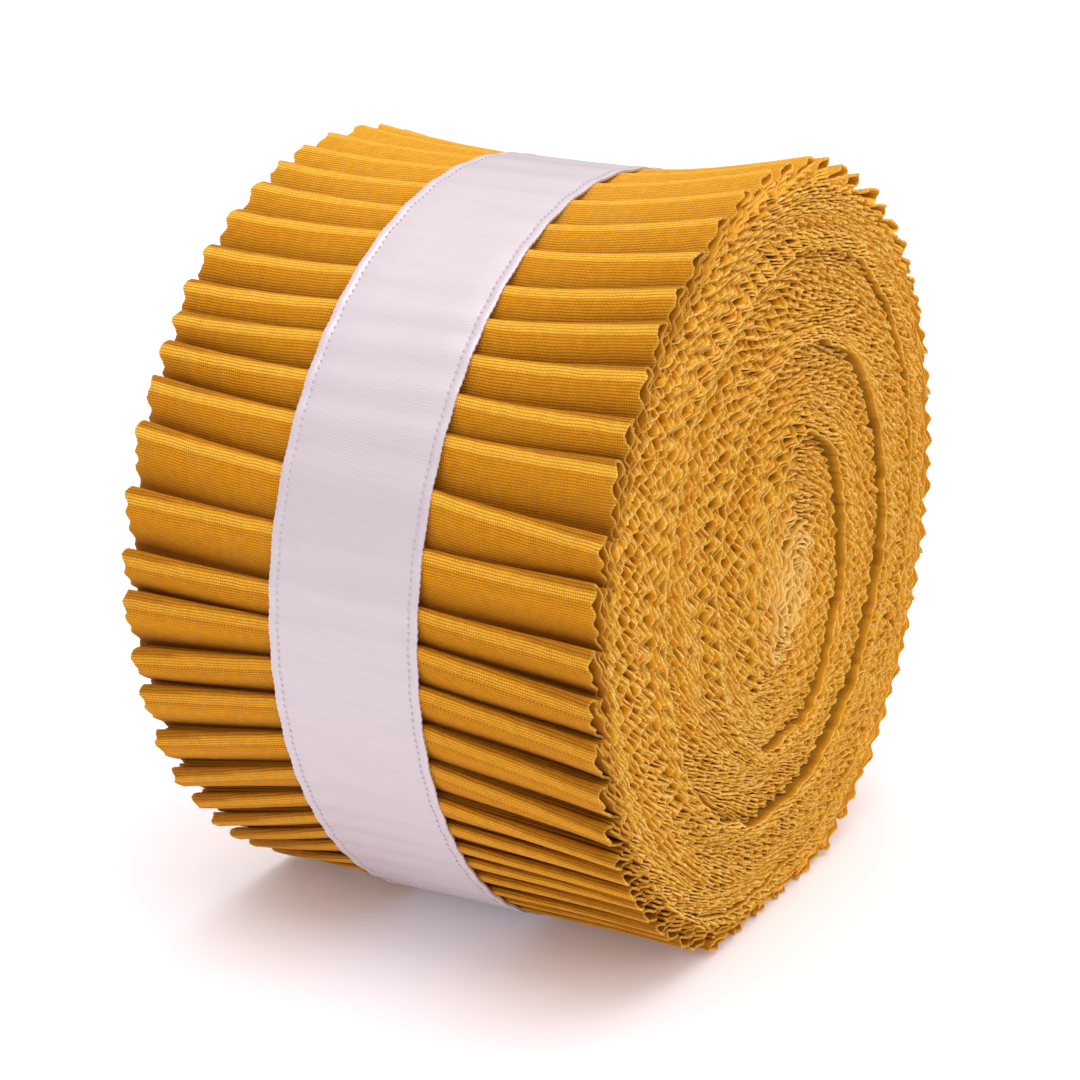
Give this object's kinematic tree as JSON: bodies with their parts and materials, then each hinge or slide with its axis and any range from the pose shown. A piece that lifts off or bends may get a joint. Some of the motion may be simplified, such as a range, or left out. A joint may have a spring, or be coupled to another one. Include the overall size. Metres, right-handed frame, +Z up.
{
  "type": "rolled fabric strip bundle",
  "caption": "Wound roll of pinked cotton strips, their folded ends overlapping round the rim, held at the waist by a plain satin ribbon band.",
  "frame": {"origin": "centre of the roll's box on the plane it rests on", "axes": "+Z up; X along the winding axis, from one pinked end face to the other; the picture shows the -Y side and the +X end face"},
  "size_m": [0.0636, 0.1016, 0.0974],
  "materials": {
    "cotton": "matte plain weave with pinked edges",
    "ribbon": "satin weave with stitched edges"
  },
  "bodies": {
    "root": {"strip_roll": "cotton", "ribbon_band": "ribbon"}
  },
  "joints": []
}
